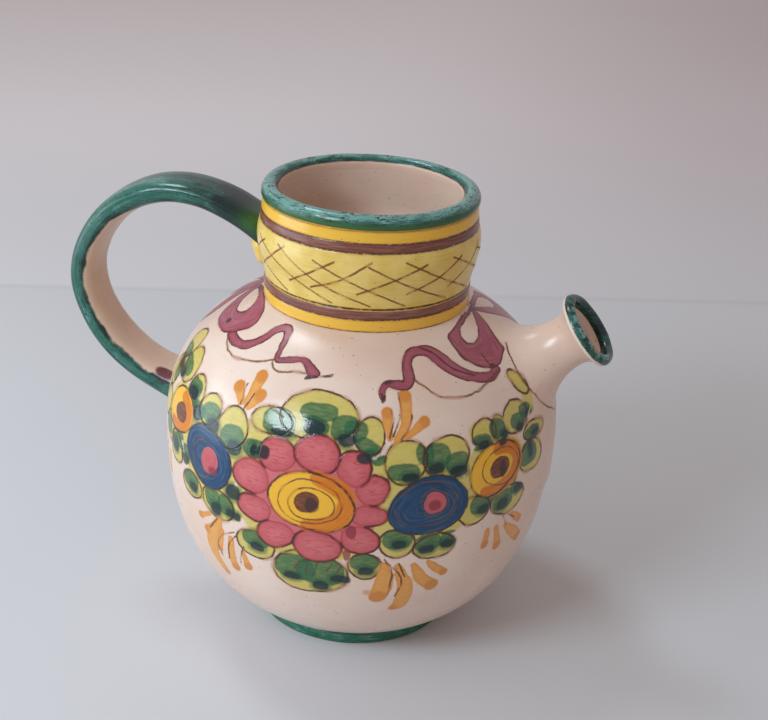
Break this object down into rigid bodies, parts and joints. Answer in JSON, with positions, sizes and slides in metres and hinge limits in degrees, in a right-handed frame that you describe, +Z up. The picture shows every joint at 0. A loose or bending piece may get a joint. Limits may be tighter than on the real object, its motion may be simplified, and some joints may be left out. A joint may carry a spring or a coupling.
{
  "type": "maiolica jug",
  "caption": "Round-bellied glazed earthenware jug with a banded neck, trumpet pouring spout, green strap handle and painted flower garland.",
  "frame": {"origin": "centre of the foot's flat underside, on the axis that the belly and neck are turned about", "axes": "+Z up along the turning axis, +X towards the spout, -X towards the handle"},
  "size_m": [0.2268, 0.16, 0.1872],
  "materials": {
    "white_glaze": "glossy tin glaze with a painted garland",
    "green_glaze": "glossy brushed copper green",
    "yellow_glaze": "glossy ochre and pale yellow with brown bands"
  },
  "bodies": {
    "root": {"foot_disc": "green_glaze", "belly": "white_glaze", "neck_collar": "yellow_glaze", "rim_roll": "green_glaze", "spout": "white_glaze", "spout_lip": "green_glaze", "strap_handle": "green_glaze", "handle_wad": "yellow_glaze"}
  },
  "joints": []
}
